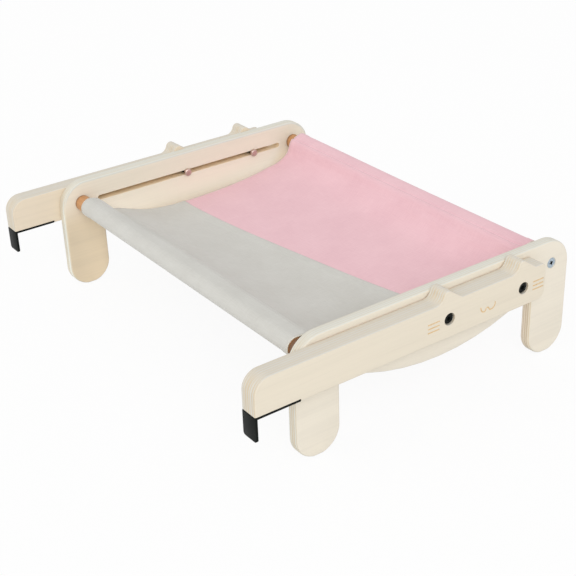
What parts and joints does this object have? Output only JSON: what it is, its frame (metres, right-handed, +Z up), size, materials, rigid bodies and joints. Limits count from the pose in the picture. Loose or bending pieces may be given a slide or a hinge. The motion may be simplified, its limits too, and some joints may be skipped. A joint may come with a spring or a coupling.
{
  "type": "cat window perch",
  "caption": "Low wooden cat perch with a canvas sling between plywood leg panels and sliding cat-face arms whose steel hooks hold on to a window sill.",
  "frame": {"origin": "on the floor, midway across the perch and midway between the hooks' front and the panels' back", "axes": "+X across the perch to its right-hand panel, +Y from the hooks to the back, +Z up"},
  "size_m": [0.4946, 0.4, 0.1326],
  "materials": {
    "panel_ply": "pale plywood, clear matt varnish",
    "arm_ply": "pale plywood, clear matt varnish, engraved face",
    "dowel_wood": "bare turned hardwood",
    "grey_canvas": "warm grey cotton canvas",
    "pink_canvas": "pink cotton canvas",
    "black_steel": "black powder coat",
    "black_bolt": "black oxide",
    "nut_steel": "satin plated steel",
    "zinc_steel": "bright zinc",
    "insert_brass": "plain brass"
  },
  "bodies": {
    "frame": {"right_leg_panel": "panel_ply", "left_leg_panel": "panel_ply", "front_dowel": "dowel_wood", "rear_dowel": "dowel_wood", "grey_canvas": "grey_canvas", "pink_canvas": "pink_canvas", "right_front_dowel_screw": "zinc_steel", "right_front_dowel_insert": "insert_brass", "right_rear_dowel_screw": "zinc_steel", "right_rear_dowel_insert": "insert_brass", "left_front_dowel_screw": "zinc_steel", "left_front_dowel_insert": "insert_brass", "left_rear_dowel_screw": "zinc_steel", "left_rear_dowel_insert": "insert_brass"},
    "right_arm": {"right_arm": "arm_ply", "right_hook_bracket": "black_steel", "right_front_hook_screw": "black_steel", "right_rear_hook_screw": "black_steel", "right_front_clamp_nut": "nut_steel", "right_rear_clamp_nut": "nut_steel"},
    "right_front_clamp_bolt": {"right_front_clamp_bolt": "black_bolt"},
    "right_rear_clamp_bolt": {"right_rear_clamp_bolt": "black_bolt"},
    "left_arm": {"left_arm": "arm_ply", "left_hook_bracket": "black_steel", "left_front_hook_screw": "black_steel", "left_rear_hook_screw": "black_steel", "left_front_clamp_nut": "nut_steel", "left_rear_clamp_nut": "nut_steel"},
    "left_front_clamp_bolt": {"left_front_clamp_bolt": "black_bolt"},
    "left_rear_clamp_bolt": {"left_rear_clamp_bolt": "black_bolt"}
  },
  "joints": [
    {"name": "right_arm_slide", "type": "slide", "parent": "frame", "child": "right_arm", "axis": [0, 1, 0], "range_m": [-0.117, 0.037]},
    {"name": "right_front_bolt_turn", "type": "hinge", "parent": "right_arm", "child": "right_front_clamp_bolt", "pos_m": [0.2396, 0.02, 0.1025], "axis": [1, 0, 0], "range_deg": [0, 360]},
    {"name": "right_rear_bolt_turn", "type": "hinge", "parent": "right_arm", "child": "right_rear_clamp_bolt", "pos_m": [0.2396, 0.116, 0.1025], "axis": [1, 0, 0], "range_deg": [0, 360]},
    {"name": "left_arm_slide", "type": "slide", "parent": "frame", "child": "left_arm", "axis": [0, 1, 0], "range_m": [-0.117, 0.037]},
    {"name": "left_front_bolt_turn", "type": "hinge", "parent": "left_arm", "child": "left_front_clamp_bolt", "pos_m": [-0.2396, 0.02, 0.1025], "axis": [-1, 0, 0], "range_deg": [0, 360]},
    {"name": "left_rear_bolt_turn", "type": "hinge", "parent": "left_arm", "child": "left_rear_clamp_bolt", "pos_m": [-0.2396, 0.116, 0.1025], "axis": [-1, 0, 0], "range_deg": [0, 360]}
  ]
}
